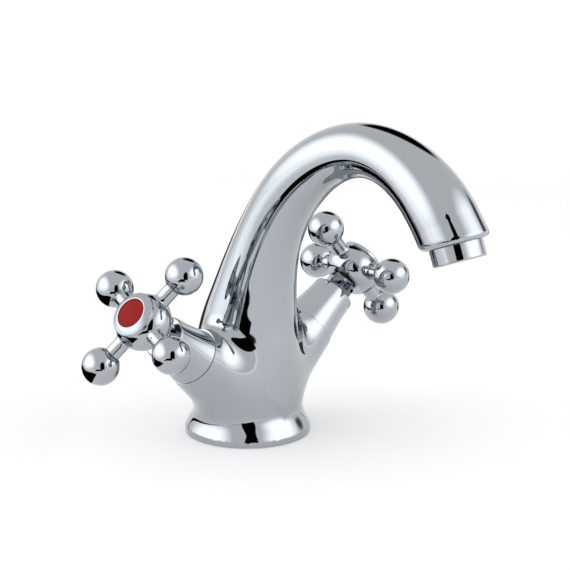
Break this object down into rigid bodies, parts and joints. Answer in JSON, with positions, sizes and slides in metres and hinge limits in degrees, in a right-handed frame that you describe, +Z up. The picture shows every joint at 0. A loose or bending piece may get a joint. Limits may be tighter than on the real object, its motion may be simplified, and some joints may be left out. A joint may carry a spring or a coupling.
{
  "type": "two-handle basin mixer faucet",
  "caption": "Chromed deck-mounted basin mixer: flared foot, tapering swan-neck spout with aerator and angled cross handles with ball-tipped arms and coloured index discs.",
  "frame": {"origin": "centre of the foot's underside, on the deck", "axes": "+Z up, the spout points to -Y, the hot handle is at -X and the cold handle at +X"},
  "size_m": [0.1715, 0.1625, 0.1465],
  "materials": {
    "chrome": "polished",
    "brass": "machined",
    "rubber": "matte",
    "ceramic": "lapped",
    "plastic": "moulded",
    "steel": "plain",
    "hot_index": "glossy",
    "cold_index": "glossy"
  },
  "bodies": {
    "faucet_body": {"aerator_housing": "chrome", "aerator_insert": "plastic", "aerator_screen": "steel", "aerator_washer": "rubber", "base_seal": "rubber", "body_casting": "chrome", "cold_bonnet": "chrome", "cold_bonnet_nut": "chrome", "cold_fixed_disc": "ceramic", "cold_headwork_body": "brass", "cold_headwork_o_ring": "rubber", "cold_seat_seal": "rubber", "hot_bonnet": "chrome", "hot_bonnet_nut": "chrome", "hot_fixed_disc": "ceramic", "hot_headwork_body": "brass", "hot_headwork_o_ring": "rubber", "hot_seat_seal": "rubber"},
    "hot_handle": {"hot_spindle": "brass", "hot_moving_disc": "ceramic", "hot_spindle_o_rings": "rubber", "hot_retaining_clip": "steel", "hot_handle_hub": "chrome", "hot_handle_arms": "chrome", "hot_hub_bush": "plastic", "hot_handle_screw": "steel", "hot_index_cap": "chrome", "hot_index_disc": "hot_index"},
    "cold_handle": {"cold_spindle": "brass", "cold_moving_disc": "ceramic", "cold_spindle_o_rings": "rubber", "cold_retaining_clip": "steel", "cold_handle_hub": "chrome", "cold_handle_arms": "chrome", "cold_hub_bush": "plastic", "cold_handle_screw": "steel", "cold_index_cap": "chrome", "cold_index_disc": "cold_index"}
  },
  "joints": [
    {"name": "hot_turn", "type": "hinge", "parent": "faucet_body", "child": "hot_handle", "pos_m": [0, 0, 0.0141], "axis": [-0.7949, -0.0417, 0.6053], "range_deg": [0, 90]},
    {"name": "cold_turn", "type": "hinge", "parent": "faucet_body", "child": "cold_handle", "pos_m": [0, 0, 0.0141], "axis": [0.7949, -0.0417, 0.6053], "range_deg": [-90, 0]}
  ]
}
